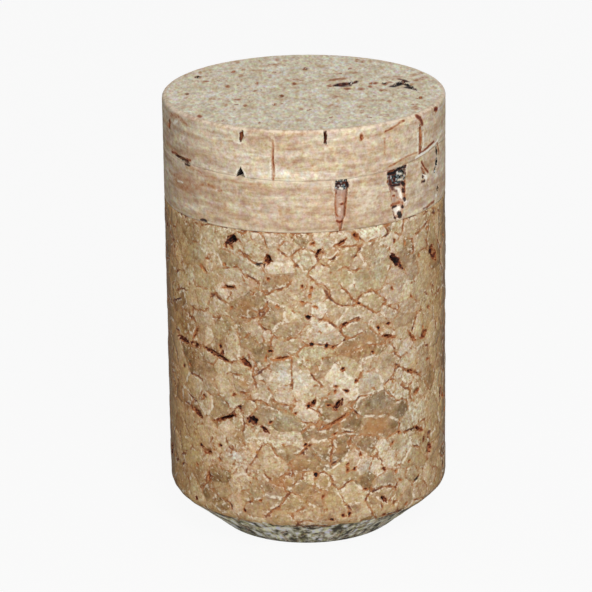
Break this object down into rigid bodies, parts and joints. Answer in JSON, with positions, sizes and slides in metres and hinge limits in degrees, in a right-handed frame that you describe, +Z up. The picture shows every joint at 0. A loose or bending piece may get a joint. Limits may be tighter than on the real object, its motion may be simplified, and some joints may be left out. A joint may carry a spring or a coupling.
{
  "type": "cork stopper",
  "caption": "Straight sparkling-wine cork before bottling: agglomerated cork body with a bevelled foot and natural cork discs glued on its upper end.",
  "frame": {"origin": "centre of the flat foot that the cork stands on", "axes": "+Z runs up the cork's axis to the disc end, and -Y is the side that faces the viewer"},
  "size_m": [0.0305, 0.0304, 0.0485],
  "materials": {
    "agglomerated_cork": "matt, ground",
    "inner_natural_cork": "matt, ground",
    "outer_natural_cork": "matt, ground"
  },
  "bodies": {
    "root": {"agglomerated_body": "agglomerated_cork", "inner_disc": "inner_natural_cork", "outer_disc": "outer_natural_cork"}
  },
  "joints": []
}
